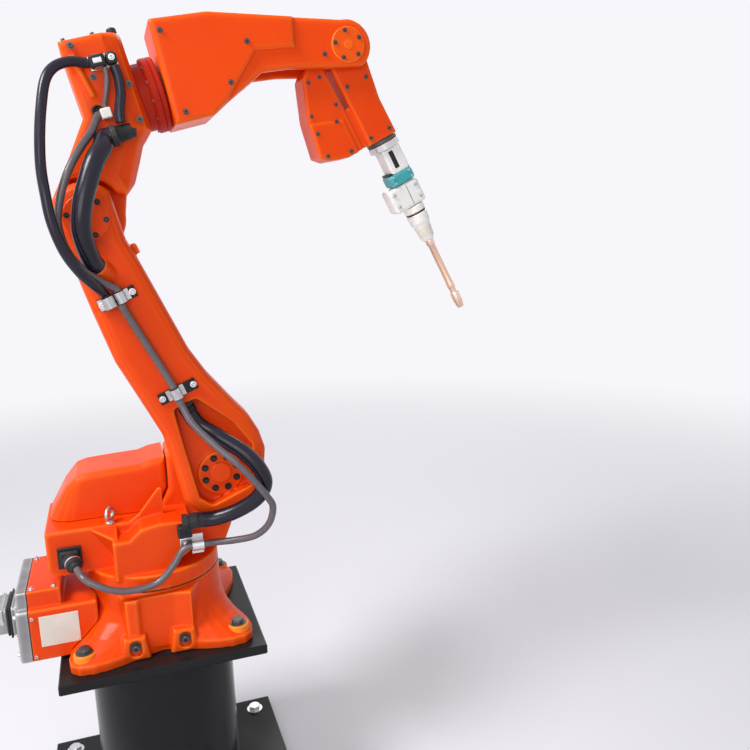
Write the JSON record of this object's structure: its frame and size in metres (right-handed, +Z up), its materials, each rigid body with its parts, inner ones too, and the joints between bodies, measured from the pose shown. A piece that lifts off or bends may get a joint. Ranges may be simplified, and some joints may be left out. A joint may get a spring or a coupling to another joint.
{
  "type": "industrial robot arm",
  "caption": "Orange articulated arc welding robot standing on a black round steel pedestal, with a torch on its wrist and hoses clipped along its arm.",
  "frame": {"origin": "on the floor under the pedestal's foot plate, on the axis about which the robot turns", "axes": "+Z up, +X the way the arm reaches with its turret at zero, +Y to the side of the motors"},
  "size_m": [1.0895, 0.54, 1.6914],
  "materials": {
    "orange_paint": "semi-gloss orange enamel over cast aluminium and iron",
    "black_paint": "gloss black enamel over welded steel",
    "motor_black": "satin black",
    "machined_steel": "machined and zinc plated",
    "grey_metal": "die cast, powder coated grey",
    "black_rubber": "matt black",
    "cable_grey": "matt dark grey cable jacket",
    "teal_plastic": "satin teal",
    "white_plastic": "satin off-white",
    "copper": "copper, heat tinted"
  },
  "bodies": {
    "base": {"foot_plate": "black_paint", "pedestal_tube": "black_paint", "top_plate": "black_paint", "base_casting": "orange_paint", "connector_box": "orange_paint", "base_socket": "grey_metal", "base_plug": "grey_metal"},
    "turret": {"turret_casting": "orange_paint", "axis1_motor_cover": "orange_paint", "axis2_reducer": "machined_steel", "axis2_motor": "motor_black", "lifting_eye": "machined_steel", "turret_socket": "black_rubber", "hose_gland": "black_rubber", "front_clamp": "machined_steel", "turret_cable": "cable_grey"},
    "lower_arm": {"lower_arm": "orange_paint", "lower_clamp": "machined_steel", "upper_clamp": "machined_steel", "arm_gland": "black_rubber", "arm_cable": "cable_grey", "lower_hose": "black_rubber", "lower_cable": "cable_grey", "upper_hose": "black_rubber", "upper_cable": "cable_grey", "loop_hose": "black_rubber"},
    "elbow": {"elbow_housing": "orange_paint", "axis3_reducer": "machined_steel", "axis3_motor": "motor_black", "axis4_reducer": "orange_paint", "elbow_eye": "black_rubber", "elbow_hose_bracket": "black_rubber", "elbow_connector": "white_plastic", "elbow_clamp": "machined_steel", "elbow_jumper": "cable_grey", "elbow_hose_tail": "black_rubber"},
    "forearm": {"forearm_housing": "orange_paint"},
    "wrist": {"wrist_housing": "orange_paint"},
    "tool": {"tool_flange": "motor_black", "torch_mount": "teal_plastic", "torch_clamp": "white_plastic", "torch_body": "white_plastic", "torch_neck": "copper", "torch_nozzle": "copper"}
  },
  "joints": [
    {"name": "axis1_turn", "type": "hinge", "parent": "base", "child": "turret", "pos_m": [0, 0, 0.5], "axis": [0, 0, 1], "range_deg": [-170, 170]},
    {"name": "axis2_lean", "type": "hinge", "parent": "turret", "child": "lower_arm", "pos_m": [0.145, 0, 0.795], "axis": [0, 1, 0], "range_deg": [-38.2, 96.8], "deforming": ["lower_hose", "lower_cable"]},
    {"name": "axis3_pitch", "type": "hinge", "parent": "lower_arm", "child": "elbow", "pos_m": [-0.06371, 0, 1.31681], "axis": [0, -1, 0], "range_deg": [-47.2, 92.8], "deforming": ["upper_hose", "upper_cable", "loop_hose"]},
    {"name": "axis4_roll", "type": "hinge", "parent": "elbow", "child": "forearm", "pos_m": [-0.10919, 0, 1.49922], "axis": [0.9703, 0, 0.2419], "range_deg": [-170, 170]},
    {"name": "axis5_bend", "type": "hinge", "parent": "forearm", "child": "wrist", "pos_m": [0.46134, 0, 1.64147], "axis": [0, -1, 0], "range_deg": [-42.5, 197.5]},
    {"name": "axis6_spin", "type": "hinge", "parent": "wrist", "child": "tool", "pos_m": [0.46134, 0, 1.64147], "axis": [0.4462, 0, -0.8949], "range_deg": [-360, 360]}
  ]
}
